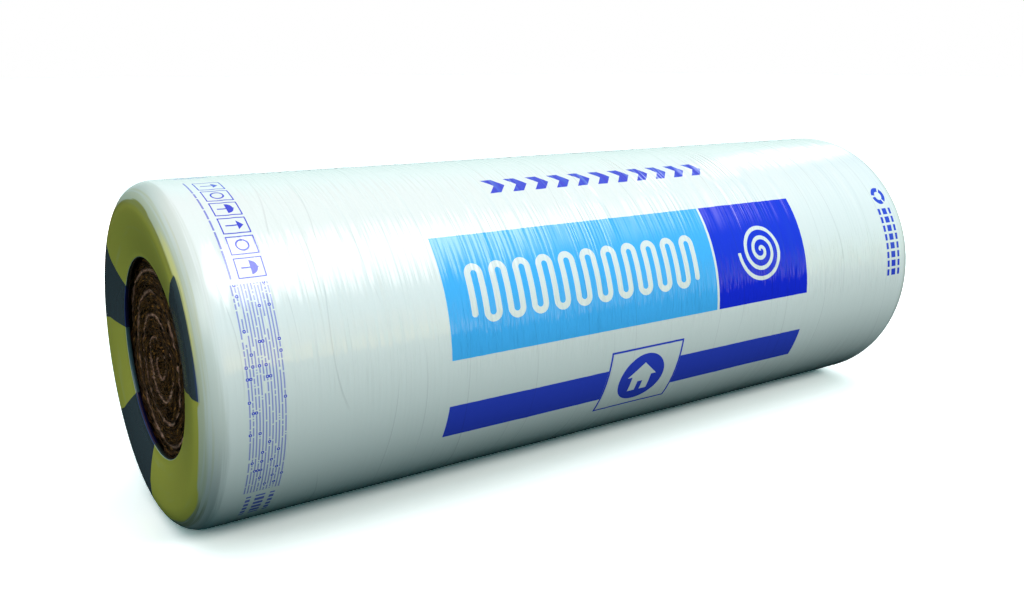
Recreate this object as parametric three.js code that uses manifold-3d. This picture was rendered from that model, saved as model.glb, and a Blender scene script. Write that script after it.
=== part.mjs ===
// A roll of glass wool insulation in its printed film sleeve, lying on its side.
//
// The batt is wound tight on itself, without a core, and its outer turns stand a little
// proud of the inner ones at both ends. The film is shrunk round the roll: it covers the
// barrel, runs over the rounded shoulders and down the end faces, and stops at a round
// opening with a turned-in hem, where the turns of wool show.
//
// Millimetres, +Z up. The roll's axis runs along X, at one radius above the floor, and the
// origin is on the floor under the middle of the roll.

import * as THREE from "three";
import { mergeVertices } from "three/addons/utils/BufferGeometryUtils.js";
import Module from "manifold-3d";

// The roll as it is packed.
const rollLength = 1200; // over both film ends
const barrelRadius = 208.75; // over the film
const shoulderRadius = 30.5; // rounding from the barrel to the end face
const facets = 60; // flat strips round the barrel, an even number so that one faces down

// The film sleeve.
const filmThickness = 0.8;
const endFlatWidth = 14; // ring of each end face that the roll can stand on
const dishDepth = 9; // how far the end face falls from that ring to the opening
const openingRadius = 120.5; // round opening in each end face
const rimRadius = 2.5; // turn of the film at the opening's edge
const hemDepth = 3; // straight part of the turned-in edge

// The wound wool.
const woolClearance = 0.3; // between the wool and the film that lies on it
const woolFaceDepth = 20.5; // inner turns, in from the end of the roll
const stepOverlap = 12; // how far outside the opening the proud outer turns begin
const stepSlope = 4; // radial width of the slope down to the inner turns
const turnPitch = 27.3; // thickness of one turn of compressed batt
const turnsShown = 4.2; // turns whose seam is cut, the last one ending under the film
const eyeDrop = 10; // the eye of the spiral lies below the axis,
const eyeShift = 8.5; // and a little to the back
const eyeRadius = 4; // where the seam starts, straight above the eye
const seamWidth = 2.6;
const seamDepth = 3.2;

// Fineness of the curves.
const shoulderSteps = 6;
const rimSteps = 3;
const seamStepsPerTurn = 30;

const axisHeight = barrelRadius * Math.cos(Math.PI / facets); // of the strip that faces down
const endFlatInner = barrelRadius - shoulderRadius - endFlatWidth;
const rimOuter = openingRadius + rimRadius; // where the dished face meets the rim's turn
const dishSlope = Math.atan2(dishDepth, endFlatInner - rimOuter);

const wasm = await Module();
wasm.setup();

/** Points of an arc in the (depth, radius) plane, both ends included. */
function arc(centreDepth, centreRadius, radius, fromAngle, toAngle, steps) {
  return Array.from({ length: steps + 1 }, (_, i) => {
    const angle = THREE.MathUtils.lerp(fromAngle, toAngle, i / steps);
    return new THREE.Vector2(
      centreDepth + radius * Math.cos(angle),
      centreRadius + radius * Math.sin(angle),
    );
  });
}

/**
 * Outer line of the film at one end, from the hem out to the barrel, as points of
 * (depth in from the end, radius).
 */
function filmLine() {
  const rimDepth = dishDepth + rimRadius;
  const rim = arc(rimDepth, rimOuter, rimRadius, -Math.PI / 2, -Math.PI - dishSlope, rimSteps);
  const shoulder = arc(
    shoulderRadius,
    barrelRadius - shoulderRadius,
    shoulderRadius,
    Math.PI,
    Math.PI / 2,
    shoulderSteps,
  );
  return [
    new THREE.Vector2(rimDepth + hemDepth, openingRadius),
    ...rim,
    new THREE.Vector2(0, endFlatInner),
    ...shoulder,
  ];
}

/** The same line moved sideways by a distance, towards the inside of the roll. */
function inset(line, distance) {
  const normals = line.slice(1).map((point, i) => {
    const along = point.clone().sub(line[i]).normalize();
    return new THREE.Vector2(along.y, -along.x);
  });
  return line.map((point, i) => {
    const before = normals[Math.max(i - 1, 0)];
    const after = normals[Math.min(i, normals.length - 1)];
    const mitre = before.clone().add(after).normalize();
    return point.clone().addScaledVector(mitre, distance / mitre.dot(after));
  });
}

/** Outer line of the wool at one end, from the axis out to the barrel. */
function woolLine() {
  const stepRadius = openingRadius + stepOverlap;
  const underFilm = inset(filmLine(), filmThickness + woolClearance);
  const shoulder = underFilm.filter((point) => point.y > stepRadius);
  const below = underFilm[underFilm.length - shoulder.length - 1];
  const share = (stepRadius - below.y) / (shoulder[0].y - below.y);
  return [
    new THREE.Vector2(woolFaceDepth, 0),
    new THREE.Vector2(woolFaceDepth, stepRadius - stepSlope),
    below.clone().lerp(shoulder[0], share),
    ...shoulder,
  ];
}

/** Both ends of the roll in one line: the given end, then its mirror image. */
function bothEnds(line) {
  const place = (point, side) =>
    new THREE.Vector2(point.y, side * (rollLength / 2 - point.x));
  const near = line.map((point) => place(point, -1));
  const far = line.map((point) => place(point, 1)).reverse();
  return [...near, ...far];
}

/** A solid turned round the X axis, with one of its flat strips facing down. */
function turned(profile) {
  const geometry = new THREE.LatheGeometry(profile, facets, Math.PI / facets);
  return geometry.rotateZ(-Math.PI / 2);
}

/** A geometry as a solid that can be cut. */
function solidOf(geometry) {
  const bare = geometry.clone();
  bare.deleteAttribute("normal");
  bare.deleteAttribute("uv");
  const merged = mergeVertices(bare, 1e-4);
  return new wasm.Manifold(
    new wasm.Mesh({
      numProp: 3,
      vertProperties: merged.attributes.position.array,
      triVerts: new Uint32Array(merged.index.array),
    }),
  );
}

/** A cut solid as a geometry again. */
function geometryOf(solid) {
  const mesh = solid.getMesh();
  const geometry = new THREE.BufferGeometry();
  const positions = new THREE.BufferAttribute(mesh.vertProperties, 3);
  geometry.setAttribute("position", positions);
  geometry.setIndex(new THREE.BufferAttribute(mesh.triVerts, 1));
  geometry.computeVertexNormals();
  return geometry;
}

/** The seam between the turns: a narrow band along a spiral, drawn with X up and Y back. */
function seamShape() {
  const steps = Math.round(turnsShown * seamStepsPerTurn);
  const edge = (side) =>
    Array.from({ length: steps + 1 }, (_, i) => {
      const turns = (i / steps) * turnsShown;
      const angle = turns * 2 * Math.PI;
      const radius = eyeRadius + turns * turnPitch + (side * seamWidth) / 2;
      return new THREE.Vector2(
        radius * Math.cos(angle) - eyeDrop,
        radius * Math.sin(angle) + eyeShift,
      );
    });
  return new THREE.Shape([...edge(1), ...edge(-1).reverse()]);
}

/** The cutter of one end's seam. The spiral is the same one at both ends of the batt. */
function seamCutter(side) {
  const depth = 2 * seamDepth; // half of it stands out of the face
  const cutter = new THREE.ExtrudeGeometry(seamShape(), { depth, bevelEnabled: false });
  cutter.translate(0, 0, -depth / 2);
  cutter.rotateY(-Math.PI / 2);
  cutter.translate(side * (rollLength / 2 - woolFaceDepth), 0, 0);
  return solidOf(cutter);
}

/** The wound glass wool, with the seam between its turns cut into both ends. */
function makeWoolRoll() {
  let wool = solidOf(turned(bothEnds(woolLine())));
  for (const side of [-1, 1]) wool = wool.subtract(seamCutter(side));
  const material = new THREE.MeshStandardMaterial({
    color: 0x4b3520,
    roughness: 0.95,
    metalness: 0,
  });
  const mesh = new THREE.Mesh(geometryOf(wool), material);
  mesh.name = "wool_roll";
  return mesh;
}

/** The printed film sleeve, open at both ends. */
function makeFilmSleeve() {
  const outside = bothEnds(filmLine());
  const inside = bothEnds(inset(filmLine(), filmThickness)).reverse();
  const material = new THREE.MeshStandardMaterial({
    color: 0xe4eae8,
    roughness: 0.28,
    metalness: 0,
  });
  const mesh = new THREE.Mesh(turned([...outside, ...inside, outside[0]]), material);
  mesh.name = "film_sleeve";
  return mesh;
}

const insulationRoll = new THREE.Group();
insulationRoll.add(makeWoolRoll(), makeFilmSleeve());
insulationRoll.position.z = axisHeight;

export default insulationRoll;
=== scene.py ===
"""Insulation roll: glass wool wound tight in a shrunk and printed film sleeve.

Run as a script, it dresses the packed model, which gives the roll its size and place, and
sets a plain studio round it. Lengths are in metres, and the roll's axis runs along X.
"""

import math
import random
from collections import namedtuple
from functools import partial, reduce

import bmesh
import bpy
from bpy.props import FloatProperty, FloatVectorProperty, IntProperty, PointerProperty
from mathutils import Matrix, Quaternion, Vector, noise


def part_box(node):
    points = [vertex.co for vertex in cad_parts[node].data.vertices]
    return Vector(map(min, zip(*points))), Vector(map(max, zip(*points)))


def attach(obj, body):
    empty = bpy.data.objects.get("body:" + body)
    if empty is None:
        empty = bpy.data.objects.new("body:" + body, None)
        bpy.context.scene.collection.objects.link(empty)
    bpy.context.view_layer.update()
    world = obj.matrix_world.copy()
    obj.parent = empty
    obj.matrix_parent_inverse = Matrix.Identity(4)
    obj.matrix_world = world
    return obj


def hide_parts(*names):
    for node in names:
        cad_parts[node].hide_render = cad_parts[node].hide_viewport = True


bl_info = {
    "name": "Insulation Roll",
    "version": (1, 0, 0),
    "blender": (4, 5, 0),
    "location": "3D View > Sidebar > Insulation Roll",
    "description": "Glass wool wound tight in a shrunk and printed film sleeve",
    "category": "Object",
}

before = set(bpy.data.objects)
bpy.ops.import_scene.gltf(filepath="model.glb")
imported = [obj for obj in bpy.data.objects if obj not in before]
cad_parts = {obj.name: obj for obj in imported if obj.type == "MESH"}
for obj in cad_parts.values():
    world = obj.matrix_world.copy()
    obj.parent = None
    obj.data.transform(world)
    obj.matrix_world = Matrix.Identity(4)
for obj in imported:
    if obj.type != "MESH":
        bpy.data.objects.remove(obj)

SLEEVE_LOW, SLEEVE_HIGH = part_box("film_sleeve")
HALF_LENGTH = SLEEVE_HIGH.x
AXIS_HEIGHT = (SLEEVE_LOW.z + SLEEVE_HIGH.z) / 2
PRESSED_IN = 0.0003  # the floor presses the lowest strip of the barrel this far in
BARREL_RADIUS = SLEEVE_HIGH.z - AXIS_HEIGHT + PRESSED_IN
AXIS_POINT = Vector((0, 0, AXIS_HEIGHT))

# A printed patch lies along the roll, counted from its left end, and around it, counted
# from the top towards the front. Both are in metres on the film.
Patch = namedtuple("Patch", "left right upper lower")
LIGHT_PANEL = Patch(0.2968, 0.7370, 0.1774, 0.3286)
DARK_PANEL = Patch(0.7412, 0.9296, 0.1774, 0.3286)
STRIPE = Patch(0.2977, 0.9308, 0.3891, 0.4384)
FRAMED_MARK = Patch(0.5460, 0.6770, 0.3616, 0.4649)
CHEVRON_ROW = Patch(0.4080, 0.8130, 0.0860, 0.1150)
HANDLING_MARKS = Patch(0.0607, 0.0921, 0.0301, 0.2017)
LONG_LINE = Patch(0.0485, 0.0564, 0.0284, 0.1991)
SMALL_LINES = Patch(0.0485, 0.0916, 0.2056, 0.4551)
SMALL_ROWS = 12
LOWER_MARKS = Patch(0.0543, 0.0877, 0.4634, 0.5114)
BACK_MARKS = Patch(0.0511, 0.0898, -0.0501, 0.0027)
RIGHT_RING = Patch(1.1290, 1.1640, 0.1770, 0.2067)
RIGHT_LINES = Patch(1.1300, 1.1620, 0.2114, 0.3303)

# The inked parts of the film on an end face. Each has a first and a last edge, and an edge
# is the pair of its turns from the top, in radians, at the opening and at the shoulder.
Sector = namedtuple("Sector", "first last")
SLATE_SECTORS = (
    Sector((0.840, 0.880), (1.60, 1.53)),
    Sector((-1.471, -1.460), (-0.953, -0.892)),
    Sector((-2.897, -2.980), (-2.188, -2.213)),
)

# Where the white of the film starts on a shoulder, as turns from the top, in radians, with
# the share of the way from the end face to the barrel.
WHITE_EDGE = (
    (-3.14, 0.27), (-1.60, 0.24), (-0.20, 0.19), (-0.05, 0.21), (0.05, 0.26), (0.24, 0.27),
    (0.38, 0.21), (0.60, 0.20), (0.825, 0.205), (0.865, 0.275), (0.95, 0.285), (1.20, 0.27),
    (1.40, 0.285), (1.565, 0.285), (1.61, 0.215), (1.90, 0.22), (2.10, 0.26), (2.30, 0.385),
    (2.50, 0.34), (3.14, 0.27),
)

# Where the creases of the film lie closest: the middle of each bunch along the roll, its
# half width, and its strength.
Bunch = namedtuple("Bunch", "middle reach strength")
CREASE_BUNCHES = (
    Bunch(0.19, 0.13, 0.90),
    Bunch(0.39, 0.14, 0.80),
    Bunch(0.54, 0.060, 1.10),
    Bunch(0.675, 0.065, 1.20),
    Bunch(0.835, 0.050, 1.30),
    Bunch(1.02, 0.09, 0.30),
)

# The studio's area lights. roll turns one about its own line of sight, and fade is the share
# of each side that fades out. A card shows only in gloss, and the others give only matte light.
SoftBox = namedtuple(
    "SoftBox", "name place aim size power shade roll fade card", defaults=(0.0, 0.16, False)
)
MIDDLE, LEFT, RIGHT = (0, 0, 0.25), (-0.5, 0, 0.2), (0.4, 0, 0.3)
LONG_PLACE, LONG_AIM = (0.146, -0.813, 1.764), (-0.114, 0.137, 0.364)
STRIP_PLACE, STRIP_AIM = (0.992, -0.706, 1.680), (0.732, 0.244, 0.280)
WHITE = (1, 1, 1)
SOFT_BOXES = (
    SoftBox("left_box", (-2.3, -0.5, 0.9), LEFT, (1.0, 1.0), 8.2, (1.0, 0.86, 0.82)),
    SoftBox("fill_left", (-1.5, -3.6, 3.0), MIDDLE, (1.5, 1.5), 22.7, (1.0, 0.63, 0.53)),
    SoftBox("fill_right", (1.5, -3.6, 2.4), MIDDLE, (1.5, 1.5), 105, (1.0, 0.945, 0.92)),
    SoftBox("fill_back", (0.2, 3.0, 0.7), MIDDLE, (1.5, 1.0), 24, (1.0, 0.62, 0.58)),
    SoftBox("long_card", LONG_PLACE, LONG_AIM, (1.30, 1.61), 21, WHITE, -0.75, 0.21, True),
    SoftBox("strip_card", STRIP_PLACE, STRIP_AIM, (1.5, 1.3), 6.6, WHITE, -0.29, 0.35, True),
    SoftBox("left_card", (-1.7, -1.1, 1.3), LEFT, (1.4, 1.4), 10, WHITE, 0.0, 0.35, True),
    SoftBox("back_card", (1.9, 0.67, 1.41), RIGHT, (0.64, 1.0), 3.1, WHITE, 0.5, 0.35, True),
)


# Settings


def number_setting(name, description, default, **kind):
    """A number for the panel. kind is its unit or subtype, where it has one."""
    return FloatProperty(name=name, description=description, default=default, **kind)


length_setting = partial(number_setting, unit="LENGTH")
angle_setting = partial(number_setting, subtype="ANGLE")


def colour_setting(name, description, default):
    return FloatVectorProperty(
        name=name, description=description, default=default, subtype="COLOR", min=0, max=1
    )


class FilmSettings(bpy.types.PropertyGroup):
    """Sizes and colours of the film sleeve."""

    opening_radius: length_setting(
        "Opening radius", "Radius of the round opening in each end face", 0.1205
    )
    shoulder_radius: length_setting("Shoulder radius", "Rounding from barrel to end face", 0.0305)
    dish_depth: length_setting("Dish depth", "How far the end face falls to its opening", 0.009)
    rim_radius: length_setting("Rim radius", "Turn of the film at the opening's edge", 0.0025)
    hem_depth: length_setting("Hem depth", "Straight part of the turned-in edge", 0.003)
    thickness: length_setting("Thickness", "Thickness of the film's closed shell", 0.0008)
    crease_height: length_setting("Crease height", "Height of creases round the barrel", 0.0012)
    fine_crease_height: length_setting(
        "Fine crease height", "Height of the finest creases, which only the shading shows", 0.0014
    )
    ring_pitch: length_setting("Ring pitch", "Distance between rings of the barrel's mesh", 0.0015)
    steps_round: IntProperty(
        name="Steps round", description="Faces in one ring of the sleeve", default=96, min=24
    )
    film_colour: colour_setting("Film", "Colour of the white film", (0.79, 0.86, 0.85))
    light_ink: colour_setting("Light ink", "Colour of the large panel", (0.066, 0.475, 1.0))
    panel_ink: colour_setting("Panel ink", "Colour of the small panel", (0.009, 0.027, 0.72))
    mark_ink: colour_setting("Mark ink", "Colour of the stripe and marks", (0.034, 0.070, 0.65))
    end_olive: colour_setting(
        "Clear ends", "Colour of the unprinted film over the wool", (0.49, 0.475, 0.080)
    )
    end_slate: colour_setting(
        "Inked ends", "Colour of the ink bands over the wool", (0.050, 0.070, 0.084)
    )


class WoolSettings(bpy.types.PropertyGroup):
    """Sizes and colours of the wound wool and its loose fibres."""

    face_depth: length_setting(
        "Face depth", "Distance from the end of the roll to the ends of the turns", 0.0205
    )
    face_radius: length_setting(
        "Face radius", "Radius of the part of the wool's end that lies back", 0.1285
    )
    cover: length_setting(
        "Cover", "Distance from the outside of the film to the wool below it", 0.0013
    )
    turn_pitch: length_setting("Turn pitch", "Thickness of one turn of the pressed batt", 0.0273)
    eye_radius: length_setting(
        "Eye radius", "Where the innermost turn starts, straight above the eye", 0.004
    )
    eye_drop: length_setting("Eye drop", "How far the spiral's eye lies below the axis", 0.010)
    eye_shift: length_setting("Eye shift", "How far the spiral's eye lies behind the axis", 0.0085)
    bulge: length_setting("Bulge", "How far a turn's middle stands out past its seams", 0.0022)
    fibres: IntProperty(
        name="Fibres", description="Loose fibres on each end of the roll", default=3400, min=0
    )
    fibre_length: length_setting("Fibre length", "Longest loose fibre", 0.030)
    wool_brown: colour_setting("Wool", "Colour of the wool in its binder", (0.086, 0.041, 0.0125))
    wool_ochre: colour_setting(
        "Flecks", "Colour of the lighter flecks and fibres", (0.54, 0.27, 0.075)
    )
    seam_pale: colour_setting(
        "Seams", "Colour of the batt's pale skin, which shows at the seams", (0.60, 0.34, 0.26)
    )


class StudioSettings(bpy.types.PropertyGroup):
    """The camera and the floor."""

    camera_place: FloatVectorProperty(
        name="Camera place",
        description="Where the camera stands",
        default=(-0.8803, -1.1665, 0.5483),
        subtype="TRANSLATION",
        unit="LENGTH",
    )
    camera_turn: angle_setting(
        "Camera turn", "How far the camera turns from straight back to the right end", 0.605
    )
    camera_tilt: angle_setting("Camera tilt", "How far the camera looks down", 0.2414)
    lens: number_setting("Lens", "Focal length in millimetres on a 36 mm sensor", 34.84)
    floor_colour: colour_setting("Floor", "Colour of the studio floor", (0.95, 1.0, 1.0))
    floor_exposure: number_setting(
        "Floor exposure", "How bright the camera sees the floor, where white is 1", 1.6
    )
    floor_bounce: number_setting(
        "Floor bounce", "Share of its light that the floor gives back to the roll", 0.008
    )


SETTINGS = {
    "insulation_film": FilmSettings,
    "insulation_wool": WoolSettings,
    "insulation_studio": StudioSettings,
}


# Shader formulas


class Term:
    """A value in a shader. Arithmetic with terms adds the nodes that work it out, so that a
    shader reads as a list of formulas."""

    def __init__(self, socket):
        self.socket = socket
        self.tree = socket.id_data

    def __add__(self, other):
        return calculate("ADD", self, other)

    def __sub__(self, other):
        return calculate("SUBTRACT", self, other)

    def __rsub__(self, other):
        return calculate("SUBTRACT", other, self)

    def __mul__(self, other):
        return calculate("MULTIPLY", self, other)

    def __truediv__(self, other):
        return calculate("DIVIDE", self, other)

    def __lt__(self, other):
        return calculate("LESS_THAN", self, other)

    def __gt__(self, other):
        return calculate("GREATER_THAN", self, other)

    def __abs__(self):
        return calculate("ABSOLUTE", self)


def feed(socket, value):
    """Links a socket to a term, or sets it to a plain value."""
    if isinstance(value, Term):
        value.tree.links.new(value.socket, socket)
    else:
        socket.default_value = value


def add_node(tree, kind, inputs=None, **options):
    """Adds a node to a tree, sets its options and feeds its inputs."""
    made = tree.nodes.new(kind)
    for name, value in options.items():
        setattr(made, name, value)
    for name, value in (inputs or {}).items():
        feed(made.inputs[name], value)
    return made


def result(tree, kind, inputs=None, output=0, **options):
    """The output of a new node, as a term."""
    return Term(add_node(tree, kind, inputs, **options).outputs[output])


def calculate(operation, *values, clamp=False):
    """The result of a math node, at least one of whose values is a term."""
    tree = next(value.tree for value in values if isinstance(value, Term))
    inputs = dict(enumerate(values))
    return result(tree, "ShaderNodeMath", inputs, operation=operation, use_clamp=clamp)


def least(*values):
    return reduce(lambda first, second: calculate("MINIMUM", first, second), values)


def largest(*values):
    """The largest of several values, which is the union of several masks."""
    return reduce(lambda first, second: calculate("MAXIMUM", first, second), values)


def length(across, along):
    """The length of a line from its two parts."""
    return calculate("SQRT", across * across + along * along)


def ramp(value, low, high):
    """0 where a value is at or below low, 1 at or above high, and smooth between."""
    inputs = {"Value": value, "From Min": low, "From Max": high}
    return result(value.tree, "ShaderNodeMapRange", inputs, interpolation_type="SMOOTHSTEP")


def within(value, limit):
    """1 where a distance is below a limit, and 0 above it."""
    soft = 0.00015
    return ramp(value, limit + soft, limit - soft)


def without(mask, hole):
    """A mask with a hole cut into it."""
    return calculate("SUBTRACT", mask, hole, clamp=True)


def cell_of(value, pitch):
    """The number of the cell that a distance lies in, with one cell every pitch."""
    return calculate("FLOOR", value / pitch)


def repeat(value, pitch):
    """A distance that starts again every pitch, from minus half a pitch to plus half."""
    return (calculate("FRACT", value / pitch) - 0.5) * pitch


def turns_of(sideways, ahead):
    """An angle as a share of a full turn."""
    return calculate("ARCTAN2", sideways, ahead) / (2 * math.pi)


def colour(value):
    """A colour with its alpha, or a term as it is."""
    return value if isinstance(value, Term) else (*value[:3], 1.0)


def blend(mask, first, second):
    """The first colour where a mask is 0, and the second where it is 1."""
    inputs = {0: mask, 6: colour(first), 7: colour(second)}
    return result(mask.tree, "ShaderNodeMix", inputs, output=2, data_type="RGBA")


def curve(turn, points):
    """The height, at a turn from the top, of a smooth line through (turn, height) points."""
    share_of_turn = turn * (0.5 / math.pi) + 0.5
    made = add_node(turn.tree, "ShaderNodeFloatCurve", {"Value": share_of_turn})
    line = made.mapping.curves[0].points
    shares = [(given / (2 * math.pi) + 0.5, height) for given, height in points]
    line[0].location, line[1].location = shares[0], shares[-1]
    for share in shares[1:-1]:
        line.new(*share)
    made.mapping.update()
    return Term(made.outputs[0])


def vector(*values):
    return result(values[0].tree, "ShaderNodeCombineXYZ", dict(enumerate(values)))


def parts(place):
    """The x, y and z of a vector."""
    made = add_node(place.tree, "ShaderNodeSeparateXYZ", {0: place})
    return [Term(output) for output in made.outputs]


def coordinates(tree, kind="Object"):
    return result(tree, "ShaderNodeTexCoord", output=kind)


def soft_noise(place, scale, detail=2.0, roughness=0.5, distortion=0.0):
    inputs = {
        "Vector": place,
        "Scale": scale,
        "Detail": detail,
        "Roughness": roughness,
        "Distortion": distortion,
    }
    return result(place.tree, "ShaderNodeTexNoise", inputs)


def chance_of(row, column, seed):
    """A number from 0 to 1 that each cell of a grid has by chance."""
    inputs = {"Vector": vector(row, column, seed)}
    return result(row.tree, "ShaderNodeTexWhiteNoise", inputs, "Value", noise_dimensions="3D")


def shader_group(tree, name, given, results, write):
    """Places the named group in a tree, and returns its outputs.

    given holds its inputs by name, and results names its outputs. The group is built once:
    write gets the group's tree and inputs, and returns its outputs."""
    group = bpy.data.node_groups.get(name)
    if not group:
        group = bpy.data.node_groups.new(name, "ShaderNodeTree")
        for way, sockets in (("INPUT", given), ("OUTPUT", results)):
            for socket in sockets:
                group.interface.new_socket(socket, in_out=way, socket_type="NodeSocketFloat")
        entries = group.nodes.new("NodeGroupInput").outputs
        exits = group.nodes.new("NodeGroupOutput").inputs
        written = write(group, *(Term(entries[socket]) for socket in given))
        for socket, value in zip(results, written):
            feed(exits[socket], value)
    placed = add_node(tree, "ShaderNodeGroup", node_tree=group)
    for socket, value in given.items():
        feed(placed.inputs[socket], value)
    return [Term(output) for output in placed.outputs]


def make_material(name):
    """A new material and its principled shader."""
    material = bpy.data.materials.new(name)
    material.use_nodes = True
    return material, material.node_tree.nodes["Principled BSDF"]


def add_bump(shader, height, strength, distance):
    """Makes a height stand out in a shader."""
    inputs = {"Height": height, "Strength": strength, "Distance": distance}
    feed(shader.inputs["Normal"], result(height.tree, "ShaderNodeBump", inputs))


# Print on the film

Places = namedtuple("Places", "along turn around radius depth")


def roll_places(tree):
    """Where a point lies on the roll: along it, around it, and in from its ends."""

    def write(group):
        x, y, z = parts(coordinates(group))
        front = y * -1.0
        up = z - AXIS_HEIGHT
        turn = calculate("ARCTAN2", front, up)
        radius = length(front, up)
        return x + HALF_LENGTH, turn, turn * BARREL_RADIUS, radius, HALF_LENGTH - abs(x)

    names = ("Along", "Turn", "Around", "Radius", "Depth")
    return Places(*shader_group(tree, "Places on the roll", {}, names, write))


def patch(places, spot):
    """The mask of a printed rectangle."""
    softness = 0.0003

    def write(_, along, around, left, right, upper, lower):
        inside = least(along - left, right - along, around - upper, lower - around)
        return [calculate("ADD", inside / softness, 0.5, clamp=True)]

    given = {"Along": places.along, "Around": places.around}
    given.update((side.title(), edge) for side, edge in spot._asdict().items())
    return shader_group(places.along.tree, "Printed patch", given, ("Mask",), write)[0]


def outline(places, spot, width):
    """The mask of a printed frame."""
    inner = Patch(spot.left + width, spot.right - width, spot.upper + width, spot.lower - width)
    return without(patch(places, spot), patch(places, inner))


def from_middle(places, spot):
    """How far a point lies from a patch's middle, along the roll and around it."""
    along = places.along - (spot.left + spot.right) / 2
    around = places.around - (spot.upper + spot.lower) / 2
    return along, around


def small_print(places, spot, rows, thickness, stroke, seed):
    """Rows of broken strokes that fill a patch, as small print looks from afar."""

    def write(_, along, around, pitch, row_thickness, stroke, seed):
        row = cell_of(along, pitch)
        printed = abs(repeat(along, pitch)) < row_thickness * 0.5
        for strokes_long, gaps in ((1.0, 0.07), (9.0, 0.015)):
            cell = cell_of(around, stroke * strokes_long)
            printed = printed * (chance_of(row, cell, seed) > gaps)
        return [printed]

    pitch = (spot.right - spot.left) / rows
    given = {
        "Along": places.along - spot.left,
        "Around": places.around,
        "Row pitch": pitch,
        "Row thickness": thickness * pitch,
        "Stroke": stroke,
        "Seed": seed,
    }
    printed = shader_group(places.along.tree, "Small print", given, ("Mask",), write)[0]
    return printed * patch(places, spot)


def wool_band(places, spot):
    """The drawn sign for insulation: one line that runs up and down along the panel."""
    spacing, straight, width, periods = 0.0175, 0.024, 0.0085, 11
    along, around = from_middle(places, spot)
    side = abs(along)
    beyond = largest(abs(around) - straight, 0.0)
    shifted = (around < 0.0) * spacing + along
    from_bend = length(repeat(shifted, 2 * spacing), beyond)
    line = within(abs(from_bend - spacing / 2), width / 2)
    past_last = side - (periods - 0.5) * spacing
    spare_bend = (around > straight) * (side > (periods - 1) * spacing)
    line = without(line, spare_bend) * within(past_last, width / 2)
    return largest(line, within(length(past_last, beyond), width / 2))


def roll_sign(places, spot):
    """A spiral, the sign for goods on a roll."""
    pitch, windings, inked, soft = 0.0150, 3.0, 0.40, 0.02
    along, around = from_middle(places, spot)
    winding = length(along, around) / pitch - turns_of(around, along)
    line = ramp(abs(repeat(winding, 1.0)), inked / 2 + soft, inked / 2 - soft)
    return line * (winding < windings)


def house_sign(places, spot):
    """A white house on a round ink spot, inside a thin frame."""
    disc, line = 0.040, 0.0030
    along, around = from_middle(places, spot)
    side = abs(along)
    walls = within(side, 0.017) * within(abs(around - 0.009), 0.013)
    roof = within(side * 0.85 - around, 0.0255) * within(around, -0.0035)
    door = within(side, 0.0045) * within(abs(around - 0.014), 0.008)
    house = without(largest(walls, roof), door)
    drawn = without(within(length(along, around), disc), house)
    return largest(drawn, outline(places, spot, line))


def chevrons(places, spot):
    """A row of chevrons that point along the roll."""
    count, slant, half_stroke = 11, 0.9, 0.0085
    half_height = (spot.lower - spot.upper) / 2
    pitch = (spot.right - spot.left - slant * half_height) / count
    along, around = from_middle(places, spot)
    above = abs(around)
    leaning = above * slant + along - slant * half_height / 2
    from_first = leaning + count * pitch / 2
    stroke = within(abs(repeat(from_first, pitch)), half_stroke)
    return stroke * within(abs(leaning), count * pitch / 2) * within(above, half_height)


def bars(places, spot, rows, bar, gap):
    """Rows of equal bars that run round the roll."""
    row_pitch = (spot.right - spot.left) / rows
    along, around = from_middle(places, spot)
    shifted = along + 0.5 * row_pitch * (1 - rows % 2)
    on_row = within(abs(repeat(shifted, row_pitch)), 0.34 * row_pitch)
    on_bar = within(abs(repeat(around, bar + gap)), bar / 2)
    return on_row * on_bar * patch(places, spot)


def handling_signs(places, spot):
    """Six framed signs in a row round the roll: arrows, rings and umbrellas by turns."""
    signs, line = 6, 0.0015
    pitch = (spot.lower - spot.upper) / signs
    half_width, half_height = (spot.right - spot.left) / 2, pitch * 0.435
    along, _ = from_middle(places, spot)
    into = places.around - spot.upper
    across = abs(repeat(into, pitch))
    side = abs(along)
    edge = largest(side - half_width, across - half_height)
    drawn = without(within(edge, 0.0), within(edge, -line))
    distance = length(along, across)
    stem = within(across, 0.0009) * within(side, 0.0095)
    head = within(across + along, 0.0105) * within(0.0035 - along, 0.0)
    ring = within(abs(distance - 0.0068), 0.0010)
    shade = within(distance, 0.0085) * within(0.0005 - along, 0.0)
    drawings = (largest(stem, head), ring, largest(stem, shade))
    kind = calculate("MODULO", cell_of(into, pitch), float(len(drawings)))
    for number, drawing in enumerate(drawings):
        drawn = largest(drawn, calculate("COMPARE", kind, float(number), 0.4) * drawing)
    return drawn * patch(places, spot)


def bullets(places, spot):
    """Small rings strewn over the small print, as (rings, the clear spots round them)."""
    pitch, cell, share = (spot.right - spot.left) / SMALL_ROWS, 0.0125, 0.13
    radius, half_line, clear = 0.0013, 0.00065, 0.0024
    along = places.along - spot.left
    chosen = chance_of(cell_of(along, pitch), cell_of(places.around, cell), 5.0) < share
    distance = length(repeat(along, pitch), repeat(places.around, cell))
    here = chosen * patch(places, spot)
    return here * within(abs(distance - radius), half_line), here * within(distance, clear)


def ring_sign(places, spot):
    """A thick ring in three parts."""
    radius, half_line, half_gap = 0.0115, 0.0038, 0.022
    along, around = from_middle(places, spot)
    ring = within(abs(length(along, around) - radius), half_line)
    off_gap = abs(repeat(turns_of(around, along), 1 / 3))
    return ring * (off_gap > half_gap)


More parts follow.
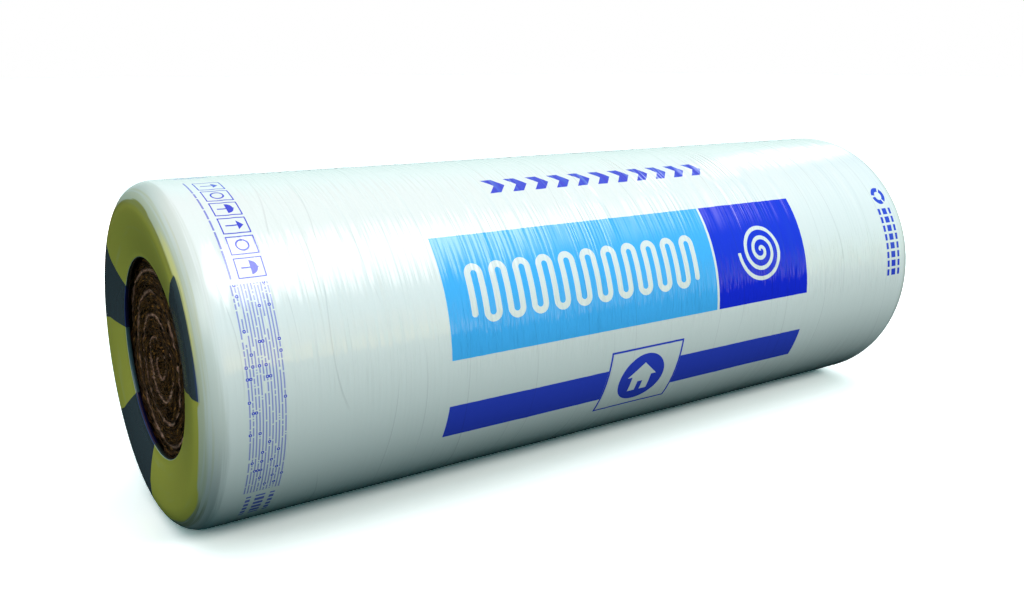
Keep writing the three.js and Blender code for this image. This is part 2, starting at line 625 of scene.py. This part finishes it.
def marks(places):
    """The mask of everything that is printed in dark ink, without the dark panel. The
    smallest marks are a little faint, because their ink is thin."""
    rings, cleared = bullets(places, SMALL_LINES)
    lines = small_print(places, SMALL_LINES, SMALL_ROWS, 0.46, 0.0015, 1.0)
    return largest(
        without(patch(places, STRIPE), patch(places, FRAMED_MARK)),
        house_sign(places, FRAMED_MARK),
        chevrons(places, CHEVRON_ROW),
        handling_signs(places, HANDLING_MARKS),
        small_print(places, LONG_LINE, 1, 0.26, 0.0020, 2.0) * 0.75,
        without(lines, cleared) * 0.63,
        rings,
        bars(places, LOWER_MARKS, 2, 0.0060, 0.0035) * 0.8,
        bars(places, BACK_MARKS, 4, 0.0080, 0.0030),
        ring_sign(places, RIGHT_RING),
        bars(places, RIGHT_LINES, 2, 0.0105, 0.0040),
    )


# Materials


def film_material(film):
    """Glossy white film with its print, clear over the wool at the ends."""
    material, shader = make_material("printed_film")
    places = roll_places(material.node_tree)
    light = without(patch(places, LIGHT_PANEL), wool_band(places, LIGHT_PANEL))
    dark = without(patch(places, DARK_PANEL), roll_sign(places, DARK_PANEL))
    # painted shadow: thin fold lines darkened towards blue-black over the print
    painted_fold_shadow_colour = (0.02, 0.03, 0.06)
    printed = blend(light, film.film_colour, film.light_ink)
    printed = blend(dark, printed, film.panel_ink)
    printed = blend(marks(places), printed, film.mark_ink)
    printed = blend(painted_fold_shadow_mask(places), printed, painted_fold_shadow_colour)
    feed(shader.inputs["Base Color"], shoulder_colours(places, film, printed))
    add_bump(shader, film_creases(places), 1.0, film.fine_crease_height)
    haze = soft_noise(vector(places.along, places.turn, 0.0), 9.0)
    dull = ramp(places.depth, 0.050, 0.015) * 0.20
    feed(shader.inputs["Roughness"], haze * 0.045 + dull)
    shader.inputs["IOR"].default_value = 1.65
    return material


def stretched(places, cells_along, cells_around, seed):
    """A place for noise, with so many cells to the metre along the roll and around it."""
    return vector(places.along * cells_along, places.around * cells_around, seed)


def painted_fold_shadow_mask(places):
    """The faint painted shadow of a few thin folds that run round the roll, as a mask."""
    pitch, strength = 0.042, 0.13
    shift = soft_noise(stretched(places, 7.0, 2.4, 11.0), 1.0, 1.0) * 0.12
    off_fold = abs(repeat(places.along + shift, pitch))
    kept = ramp(soft_noise(stretched(places, 22.0, 3.0, 5.0), 1.0, 1.0), 0.46, 0.60)
    return ramp(off_fold, 0.0010, 0.0004) * kept * strength


def film_creases(places):
    """Height of the finest creases, which run straight round the roll, most in bunches."""
    along, around = places.along, places.around
    long = soft_noise(stretched(places, 215.0, 3.6, 0.0), 1.0, 1.0, 0.4)
    short = soft_noise(stretched(places, 330.0, 26.0, 3.0), 1.0, 1.0)
    bunched = 0.36
    for bunch in CREASE_BUNCHES:
        near = ramp(abs(along - bunch.middle), bunch.reach, 0.35 * bunch.reach)
        bunched = near * bunch.strength + bunched
    upper = ramp(around, 0.42, 0.28) * 0.75 + 0.25
    front = ramp(around, 0.0, 0.08) * 0.65 + 0.35
    flank = ramp(around, 0.22, 0.28) * ramp(around, 0.37, 0.31)
    loose = ramp(along, 0.27, 0.34) * 0.70 + 0.40
    ruffle = flank * loose * 1.10 + 0.06
    creases = long * (bunched * upper * front) + short * ruffle
    return creases * ramp(places.depth, 0.016, 0.050)


def shoulder_colours(places, film, printed):
    """The end's film up to the shoulder, and past it the white, which starts out thin. The lower
    shoulder has painted shade, and the white's edge a painted highlight on its lit side.
    """
    # the darker copies of the faint and thin whites are painted shade for the lower shoulder,
    # which faces away from the light
    faint, faint_painted_shade = (0.66, 0.73, 0.69), (0.50, 0.56, 0.56)
    thin, thin_painted_shade, thin_painted_bottom_shade = (0.60, 0.64, 0.48), (0.46, 0.52, 0.41), (0.24, 0.28, 0.20)
    painted_edge_highlight = (0.84, 0.80, 0.32)
    turn = places.turn
    past_face = places.radius - (BARREL_RADIUS - film.shoulder_radius)
    over = (past_face + places.depth) / (2 * film.shoulder_radius)
    streaks = soft_noise(vector(over * 9.0, turn, 0.0), 1.4, 3.0)
    uneven = streaks - 0.5
    streaked = uneven * 0.16 + over
    # painted shade: from here down the shoulder takes the darker copies of its whites
    below = ramp(turn, 1.6, 2.2)
    thin_white = blend(ramp(turn, 2.15, 2.35), blend(below, thin, thin_painted_shade), thin_painted_bottom_shade)
    faint_white = blend(below, faint, faint_painted_shade)
    white = blend(ramp(streaks * 0.5 + over, 1.22, 1.00), printed, faint_white)
    white = blend(ramp(uneven * 0.9 + over, 0.64, 0.34), white, thin_white)
    # painted highlight: a bright yellow line along the white's edge, only on the side that faces
    # the light
    painted_lit_side = ramp(calculate("COSINE", turn - 0.95), 0.87, 0.98)
    white = blend(ramp(streaked, 0.40, 0.30) * painted_lit_side, white, painted_edge_highlight)
    on_barrel = ramp(streaked - curve(turn, WHITE_EDGE), -0.035, 0.030)
    return blend(on_barrel, end_colours(places, film), white)


def end_colours(places, film):
    """Clear and inked film over the wool, in sectors, with its rim and the hem inside it. The
    hem's colours are painted light and shade, and the olive is painted darker where the shoulder
    turns up.
    """
    cloudy, painted_shade_olive = (0.46, 0.52, 0.22), (0.31, 0.30, 0.045)
    clear_rim, inked_rim = (0.44, 0.53, 0.40), (0.035, 0.060, 0.26)
    inked_tip, painted_shade_inked_hem = (0.045, 0.080, 0.24), (0.003, 0.005, 0.045)
    painted_shade_hem, painted_light_hem = (0.012, 0.022, 0.022), (0.05, 0.11, 0.14)
    turn, radius = places.turn, places.radius
    face_edge = BARREL_RADIUS - film.shoulder_radius
    outwards = radius - film.opening_radius
    share = outwards / (face_edge - film.opening_radius)
    widened = largest(share - 0.76, 0.0) * 0.10
    inked = []
    for first, last in SLATE_SECTORS:
        start = share * (first[1] - first[0]) + first[0]
        end = share * (last[1] - last[0]) + last[0]
        inked.append(ramp(least(turn - start, end - turn) + widened, -0.004, 0.004))
    slate = largest(*inked)
    sheen = ramp(soft_noise(vector(radius * 60.0, turn), 1.2), 0.55, 0.80) * 0.35
    clear = blend(sheen, film.end_olive, cloudy)
    # painted shade: the olive is darker where the shoulder turns it up towards the overhead light,
    # to cancel that light
    upper = ramp(calculate("COSINE", turn), 0.0, 0.9)
    clear = blend(upper * ramp(radius, face_edge + 0.002, face_edge + 0.011), clear, painted_shade_olive)
    tip = ramp(turn, 1.20, 1.48) * ramp(radius, face_edge + 0.009, face_edge + 0.014)
    face = blend(slate, clear, blend(tip, film.end_slate, inked_tip))
    rim = blend(slate, clear_rim, inked_rim)
    # painted light and shade on the hem inside the opening: near black in shade, dark navy where
    # inked, and teal only on the side that light reaches
    painted_lit_side = ramp(calculate("COSINE", turn + 1.82), 0.90, 0.96)
    hem = blend(slate, blend(painted_lit_side, painted_shade_hem, painted_light_hem), painted_shade_inked_hem)
    edged = blend(ramp(outwards, 0.0015, 0.0011), face, rim)
    return blend(ramp(outwards, 0.0009, 0.0006), edged, hem)


def wool_material(wool):
    """Brown glass wool, flecked along its turns, with painted shade in the gaps between its clumps
    and the batt's pale skin at the seams.
    """
    material, shader = make_material("glass_wool")
    tree = material.node_tree
    _, y, z = parts(coordinates(tree))
    back = y - wool.eye_shift
    up = z - (AXIS_HEIGHT - wool.eye_drop)
    distance = largest(length(back, up), 0.001)
    winding = vector(distance * 95.0, back / distance, up / distance)
    clumps = soft_noise(winding, 4.0, 3.0, 0.62, 0.4)
    strands = soft_noise(winding, 9.5, 3.0, 0.6, 0.5)
    # painted shade: the gaps between clumps are darkened to near black, as shade falls among the
    # fibres
    painted_gap_shade = tuple(0.04 * channel for channel in wool.wool_brown)
    shade = blend(ramp(strands, 0.53, 0.68), wool.wool_brown, wool.wool_ochre)
    shade = blend(ramp(clumps, 0.58, 0.46), shade, painted_gap_shade)
    seam = result(tree, "ShaderNodeAttribute", output="Fac", attribute_name="seam")
    worn = ramp(soft_noise(winding, 3.0, 2.0, 0.6), 0.22, 0.45)
    skin = blend(ramp(strands, 0.30, 0.52), wool.wool_brown, wool.seam_pale)
    feed(shader.inputs["Base Color"], blend(seam * worn, shade, skin))
    add_bump(shader, clumps + strands, 0.9, 0.0020)
    shader.inputs["Roughness"].default_value = 0.85
    shader.inputs["Specular IOR Level"].default_value = 0.05
    return material


def fibre_material(name, shade):
    """Loose glass fibres of one shade, a little lighter and darker along the heap."""
    material, shader = make_material(name)
    darker = tuple(0.45 * channel for channel in shade)
    mottle = ramp(soft_noise(coordinates(material.node_tree), 240.0), 0.35, 0.65)
    feed(shader.inputs["Base Color"], blend(mottle, darker, shade))
    shader.inputs["Roughness"].default_value = 0.55
    shader.inputs["Specular IOR Level"].default_value = 0.4
    return material


def floor_material(studio):
    """Plain pale floor. The camera sees it brighter than it is, as an exposed background is."""
    material, _ = make_material("studio_floor")
    tree = material.node_tree
    sees = result(tree, "ShaderNodeLightPath", output="Is Camera Ray")
    seen = tuple(studio.floor_exposure * channel for channel in studio.floor_colour)
    bounced = tuple(studio.floor_bounce * channel for channel in studio.floor_colour)
    surface = result(tree, "ShaderNodeBsdfDiffuse", {"Color": blend(sees, bounced, seen)})
    feed(tree.nodes["Material Output"].inputs["Surface"], surface)
    return material


# Shapes


def add_object(name, data):
    """Puts a new object in the scene."""
    made = bpy.data.objects.new(name, data)
    bpy.context.scene.collection.objects.link(made)
    return made


def finish_mesh(name, mesh, material):
    """Makes an object of a bmesh, with smooth faces."""
    for face in mesh.faces:
        face.smooth = True
    data = bpy.data.meshes.new(name)
    mesh.to_mesh(data)
    mesh.free()
    data.materials.append(material)
    return add_object(name, data)


def film_end(film, inset=0.0):
    """The film's line at one end, from the hem to the barrel, as (depth, radius)."""
    rim_steps, dish_steps, shoulder_steps, dish_power = 6, 18, 20, 1.5
    face_radius = BARREL_RADIUS - film.shoulder_radius
    rim_outer = film.opening_radius + film.rim_radius
    width = face_radius - rim_outer
    slope = math.atan(dish_power * film.dish_depth / width)
    rim_depth = film.dish_depth + film.rim_radius
    line = [(rim_depth + film.hem_depth, film.opening_radius + inset)]
    reach = film.rim_radius - inset
    for step in range(rim_steps + 1):
        angle = math.radians(-90) - step / rim_steps * (math.radians(90) + slope)
        line.append((rim_depth + reach * math.cos(angle), rim_outer + reach * math.sin(angle)))
    for step in range(2, dish_steps):
        share = 1 - step / dish_steps
        depth = film.dish_depth * share**dish_power + inset
        line.append((depth, face_radius - share * width))
    reach = film.shoulder_radius - inset
    for step in range(shoulder_steps + 1):
        angle = math.radians(180 - 90 * step / shoulder_steps)
        depth = film.shoulder_radius + reach * math.cos(angle)
        line.append((depth, face_radius + reach * math.sin(angle)))
    return line


def both_ends(line):
    """The line of one end, given by depth, at the left end and mirrored at the right."""
    left = [(depth - HALF_LENGTH, radius) for depth, radius in line]
    return left, [(-x, radius) for x, radius in reversed(left)]


def draw_line(mesh, points, closed=False):
    """Draws a line of (x, radius) above the axis, as a list of corners and one of edges."""
    corners = [mesh.verts.new((x, 0, AXIS_HEIGHT + radius)) for x, radius in points]
    following = corners[1:] + corners[: int(closed)]
    return corners, [mesh.edges.new(pair) for pair in zip(corners, following)]


def spin_round(mesh, steps):
    """Turns the line in a mesh once round the axis."""
    bmesh.ops.spin(
        mesh,
        geom=[*mesh.verts, *mesh.edges],
        cent=AXIS_POINT,
        axis=(1, 0, 0),
        dvec=(0, 0, 0),
        angle=2 * math.pi,
        steps=steps,
        use_merge=True,
    )
    bmesh.ops.recalc_face_normals(mesh, faces=mesh.faces)


def crease_field(x, turn, pitch, crease_length, seed):
    """Long creases round the barrel: one every pitch or so, each about as long as given."""
    swing = BARREL_RADIUS / crease_length
    place = Vector((x / pitch, swing * math.cos(turn) + seed, swing * math.sin(turn)))
    return noise.noise(place)


def film_relief(point, film):
    """Height of the film's creases over a point of the sleeve."""
    smooth_end = 0.016  # no creases this close to the end of the roll
    turn = math.atan2(-point.y, point.z - AXIS_HEIGHT)
    depth = HALF_LENGTH - abs(point.x)
    on_barrel = min(1, max(0, (depth - smooth_end) / film.shoulder_radius))
    tight = 0.5 + 0.9 * crease_field(point.x, turn, 0.09, 0.20, 7.3)
    upper = max(0, math.cos(turn - 1.0)) ** 2
    wide = crease_field(point.x, turn, 0.0095, 0.24, 0.0)
    hoop = 1 - abs(crease_field(point.x, turn, 0.050, 1.5, 5.7))
    swell = crease_field(point.x, turn, 0.110, 0.14, 2.3)
    creases = 0.8 * upper * tight * wide + 0.25 * hoop**14 + 0.4 * swell
    return film.crease_height * on_barrel * creases


def make_film(film):
    """The film sleeve: a finely creased outside, and a plain inside that lies on the wool."""
    mesh = bmesh.new()
    left, right = both_ends(film_end(film))
    inner_left, inner_right = both_ends(film_end(film, film.thickness)[::2])
    line = [*left, *right, *inner_right[::-1], *inner_left[::-1]]
    outside = mesh.verts.layers.float.new("outside")
    corners, edges = draw_line(mesh, line, closed=True)
    for corner in corners[: len(left + right)]:
        corner[outside] = 1
    cuts = int((right[0][0] - left[-1][0]) / film.ring_pitch)
    bmesh.ops.subdivide_edges(mesh, edges=[edges[len(left) - 1]], cuts=cuts)
    spin_round(mesh, film.steps_round)
    mesh.normal_update()
    for corner in mesh.verts:
        corner.co += corner.normal * corner[outside] * film_relief(corner.co, film)
        corner.co.z = max(corner.co.z, 0)
    return finish_mesh("printed_film_sleeve", mesh, film_material(film))


def from_eye(point, wool):
    """How far a point of the wool's end lies behind the eye of the spiral, and above it."""
    return point.y - wool.eye_shift, point.z - AXIS_HEIGHT + wool.eye_drop


def spiral_place(point, wool):
    """How far a point of the wool's end lies past the seam inside it, in turns, and the
    number of turns between it and the eye."""
    back, up = from_eye(point, wool)
    turns = (math.atan2(back, up) / (2 * math.pi)) % 1
    past = (math.hypot(back, up) - wool.eye_radius) / wool.turn_pitch - turns
    return past % 1, past


def winding_noise(point, wool, cells_outwards, cells_round):
    """Noise drawn out along the turns. Its cells are counted outwards to the metre, and round
    the eye to the radian."""
    back, up = from_eye(point, wool)
    distance = max(0.001, math.hypot(back, up))
    swing = cells_round / distance
    return noise.noise(Vector((distance * cells_outwards, back * swing, up * swing)))


def wander(point):
    """How far the turns stray from the true spiral, in turns."""
    return 0.09 * noise.noise(point * 24) + 0.025 * noise.noise(point * 80)


def seam_lines(point, wool):
    """How strongly a seam shows at a point of the wool's end, from 0 to 1."""
    inside_eye, half_width = -0.2, 0.0013
    share, turns = spiral_place(point, wool)
    if turns < inside_eye:
        return 0.0
    off = ((share + wander(point) + 0.5) % 1 - 0.5) * wool.turn_pitch
    return math.exp(-((off / half_width) ** 2))


def wool_relief(point, wool):
    """How far the wool's end stands out at a point."""
    groove_place, groove_depth, groove_half_width = 0.10, 0.0030, 0.0018
    skin_height = 0.0014
    share, _ = spiral_place(point, wool)
    share = (share + wander(point)) % 1
    off_groove = (share - groove_place) * wool.turn_pitch
    crest = wool.bulge * math.sin(math.pi * share) ** 0.7
    groove = groove_depth * math.exp(-((off_groove / groove_half_width) ** 2))
    tufts = 0.0020 * winding_noise(point, wool, 200, 9)
    tufts += 0.0011 * winding_noise(point, wool, 480, 22)
    lumps = 0.0022 * noise.noise(point * 30)
    return crest - groove + tufts + lumps + skin_height * seam_lines(point, wool)


def make_wool(wool, film):
    """The wound wool: a plain body under the film, and the ends of its turns in full."""
    rings, steps_round, plain_edge, tolerance = 96, 336, 0.003, 1e-5
    mesh = bmesh.new()
    face_depth, face_radius = wool.face_depth, wool.face_radius
    under = [
        (depth + wool.cover, radius)
        for depth, radius in film_end(film, wool.cover)[9::3]
        if radius > face_radius
    ]
    left, right = both_ends([(face_depth, 0), (face_depth, face_radius), *under])
    _, edges = draw_line(mesh, left + right)
    bmesh.ops.subdivide_edges(mesh, edges=[edges[0], edges[-1]], cuts=rings)
    spin_round(mesh, steps_round)
    bmesh.ops.remove_doubles(mesh, verts=mesh.verts, dist=1e-6)
    seam = mesh.verts.layers.float.new("seam")
    for corner in mesh.verts:
        depth = HALF_LENGTH - abs(corner.co.x)
        from_axis = (corner.co - AXIS_POINT).yz.length
        if depth > face_depth + tolerance or from_axis > face_radius - plain_edge:
            continue
        corner[seam] = seam_lines(corner.co, wool)
        corner.co.x += math.copysign(wool_relief(corner.co, wool), corner.co.x)
    return finish_mesh("wound_glass_wool", mesh, wool_material(wool))


def make_fibres(wool, film):
    """Loose fibres that lie along the turns at both ends of the roll."""
    thin, thick, lowest, highest = 0.00009, 0.00024, 0.0001, 0.0012
    segments, shares, under_film = 3, (5, 4, 1), 0.004
    across = Vector((1, 0, 0))
    chance = random.Random(11)
    drawing = bpy.data.curves.new("loose_fibres", "CURVE")
    drawing.dimensions = "3D"
    drawing.bevel_depth = 1.0
    drawing.bevel_resolution = 0
    drawing.use_fill_caps = True
    eye = Vector((0, wool.eye_shift, AXIS_HEIGHT - wool.eye_drop))
    face = HALF_LENGTH - wool.face_depth
    limit = film.opening_radius + under_film
    for side in (-1, 1):
        for _ in range(wool.fibres):
            distance = limit * math.sqrt(chance.random())
            angle = chance.uniform(0, 2 * math.pi)
            y, z = distance * math.cos(angle), distance * math.sin(angle)
            start = Vector((0, y, z)) + AXIS_POINT
            heading = (start - eye).normalized().cross(across)
            sideways = heading.cross(across)
            lean = chance.gauss(0, 0.30)
            fibre_length = wool.fibre_length * chance.uniform(0.15, 1) ** 1.6
            thickness = chance.uniform(thin, thick)
            lift = chance.uniform(lowest, highest)
            bend = chance.gauss(0, 0.5)
            spline = drawing.splines.new("POLY")
            spline.points.add(segments)
            place = start.copy()
            for index, knot in enumerate(spline.points):
                turn = lean + bend * index / segments
                step = heading * math.cos(turn) + sideways * math.sin(turn)
                if index:
                    place = place + step * (fibre_length / segments)
                over = wool_relief(Vector((side * face, place.y, place.z)), wool) + lift
                knot.co = (side * (face + over), place.y, place.z, 1)
                knot.radius = thickness * (1 - abs(index / segments - 0.5))
            spline.material_index = chance.choices((0, 1, 2), shares)[0]
    drawn = add_object("loose_fibres_curve", drawing)
    bpy.context.view_layer.update()
    evaluated = drawn.evaluated_get(bpy.context.evaluated_depsgraph_get())
    data = bpy.data.meshes.new_from_object(evaluated)
    bpy.data.objects.remove(drawn)
    data.name = "loose_fibres"
    data.materials.clear()
    shades = (wool.wool_brown, wool.wool_ochre, wool.seam_pale)
    for name, shade in zip(("fibre_brown", "fibre_ochre", "fibre_pale"), shades):
        data.materials.append(fibre_material(name, shade))
    return add_object("loose_fibres", data)


# Operators


class INSULATION_OT_wool(bpy.types.Operator):
    """Make the wound glass wool, which stands for the packed solid"""

    bl_idname = "insulation.wool"
    bl_label = "Wound Wool"
    bl_options = {"REGISTER", "UNDO"}

    def execute(self, context):
        scene = context.scene
        piece = make_wool(scene.insulation_wool, scene.insulation_film)
        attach(piece, "root")
        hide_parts("wool_roll")
        return {"FINISHED"}


class INSULATION_OT_fibres(bpy.types.Operator):
    """Scatter loose fibres over the ends of the wool"""

    bl_idname = "insulation.fibres"
    bl_label = "Loose Fibres"
    bl_options = {"REGISTER", "UNDO"}

    def execute(self, context):
        scene = context.scene
        piece = make_fibres(scene.insulation_wool, scene.insulation_film)
        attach(piece, "root")
        return {"FINISHED"}


class INSULATION_OT_film(bpy.types.Operator):
    """Make the printed film sleeve, which stands for the packed solid"""

    bl_idname = "insulation.film"
    bl_label = "Film Sleeve"
    bl_options = {"REGISTER", "UNDO"}

    def execute(self, context):
        film = context.scene.insulation_film
        piece = make_film(film)
        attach(piece, "root")
        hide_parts("film_sleeve")
        end_cut = BARREL_RADIUS - film.opening_radius + film.hem_depth
        flat_width = 2 * (HALF_LENGTH + end_cut)
        flat_length = 2 * math.pi * BARREL_RADIUS
        return {"FINISHED"}


class INSULATION_OT_studio(bpy.types.Operator):
    """Set the floor, the lights and the camera"""

    bl_idname = "insulation.studio"
    bl_label = "Studio"
    bl_options = {"REGISTER", "UNDO"}

    def execute(self, context):
        studio = context.scene.insulation_studio
        make_floor(studio)
        make_lights()
        make_camera(studio)
        return {"FINISHED"}


def make_floor(studio):
    half_width = 40
    mesh = bmesh.new()
    bmesh.ops.create_grid(mesh, x_segments=1, y_segments=1, size=half_width)
    floor = finish_mesh("studio_floor", mesh, floor_material(studio))


def add_soft_box(box):
    """An area light that fades out towards its edges, as a diffuser does."""
    gain = 1.4  # makes up for the light that the faded edges lose
    lamp = bpy.data.lights.new(box.name, "AREA")
    lamp.shape = "RECTANGLE"
    lamp.size, lamp.size_y = box.size
    lamp.energy = box.power
    lamp.color = box.shade
    lamp.use_nodes = True
    tree = lamp.node_tree
    place = result(tree, "ShaderNodeNewGeometry", output="Parametric")
    fades = [ramp(abs(side - 0.5), 0.5, 0.5 - box.fade) for side in parts(place)[:2]]
    feed(tree.nodes["Emission"].inputs["Strength"], fades[0] * fades[1] * gain)
    facing = (Vector(box.aim) - Vector(box.place)).to_track_quat("-Z", "Y")
    holder = add_object(box.name, lamp)
    holder.location = box.place
    holder.rotation_euler = (facing @ Quaternion((0, 0, 1), box.roll)).to_euler()
    holder.visible_diffuse = not box.card
    holder.visible_glossy = box.card


def make_lights():
    """A pale room and the soft boxes. Glossy surfaces mirror a room of other colours."""
    low_wall, high_wall, ceiling = (0.13, 0.61, 0.70), (0.12, 0.37, 0.33), (1.24, 1.18, 1.24)
    near_floor, near_wall = (1.65, 1.10, 0.30), (0.80, 0.50, 0.30)
    away_floor, away_wall = (0.26, 0.45, 0.22), (0.10, 0.33, 0.42)
    upper_wall, back_wall, left_wall = (0.11, 0.36, 0.60), (0.68, 0.92, 0.88), (0.10, 0.20, 0.20)
    mirrored_ceiling, backdrop = (0.60, 0.31, 0.29), (1.0, 1.0, 1.0)
    world = bpy.data.worlds.new("studio_world")
    bpy.context.scene.world = world
    world.use_nodes = True
    tree = world.node_tree
    x, y, z = parts(coordinates(tree, "Generated"))
    overhead = ramp(z, 0.55, 0.85)
    room = blend(ramp(z, 0.10, 0.40), low_wall, high_wall)
    room = blend(overhead, room, ceiling)
    low = ramp(z, 0.10, 0.22)
    near = blend(low, near_floor, near_wall)
    mirrored = blend(ramp(x, 0.488, 0.512), near, blend(low, away_floor, away_wall))
    mirrored = blend(ramp(z, 0.28, 0.45), mirrored, upper_wall)
    mirrored = blend(ramp(y, 0.20, 0.60), mirrored, back_wall)
    mirrored = blend(ramp(x, -0.10, 0.25), left_wall, mirrored)
    mirrored = blend(overhead, mirrored, mirrored_ceiling)
    rays = add_node(tree, "ShaderNodeLightPath").outputs
    room = blend(Term(rays["Is Glossy Ray"]), room, mirrored)
    seen = blend(Term(rays["Is Camera Ray"]), room, backdrop)
    feed(tree.nodes["Background"].inputs["Color"], seen)
    for box in SOFT_BOXES:
        add_soft_box(box)


def make_camera(studio):
    camera = bpy.data.cameras.new("camera")
    camera.lens = studio.lens
    camera.sensor_width = 36
    holder = add_object("camera", camera)
    holder.location = studio.camera_place
    holder.rotation_euler = (math.pi / 2 - studio.camera_tilt, 0, -studio.camera_turn)
    bpy.context.scene.camera = holder
    bpy.context.scene.view_settings.view_transform = "Standard"


class INSULATION_PT_panel(bpy.types.Panel):
    """Lists the operators and the settings that they read"""

    bl_idname = "INSULATION_PT_panel"
    bl_label = "Insulation Roll"
    bl_space_type = "VIEW_3D"
    bl_region_type = "UI"
    bl_category = "Insulation Roll"

    def draw(self, context):
        for operator in OPERATORS:
            self.layout.operator(operator.bl_idname)
        for name, kind in SETTINGS.items():
            settings = getattr(context.scene, name)
            box = self.layout.box()
            box.label(text=kind.__doc__)
            for field in kind.__annotations__:
                box.prop(settings, field)


OPERATORS = (INSULATION_OT_wool, INSULATION_OT_fibres, INSULATION_OT_film, INSULATION_OT_studio)
CLASSES = (*SETTINGS.values(), *OPERATORS, INSULATION_PT_panel)


def register():
    for kind in CLASSES:
        bpy.utils.register_class(kind)
    for name, kind in SETTINGS.items():
        setattr(bpy.types.Scene, name, PointerProperty(type=kind))


def unregister():
    for name in SETTINGS:
        delattr(bpy.types.Scene, name)
    for kind in reversed(CLASSES):
        bpy.utils.unregister_class(kind)


def main():
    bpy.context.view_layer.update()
    register()
    bpy.ops.insulation.wool()
    bpy.ops.insulation.fibres()
    bpy.ops.insulation.film()
    bpy.ops.insulation.studio()


if __name__ == "__main__":
    main()
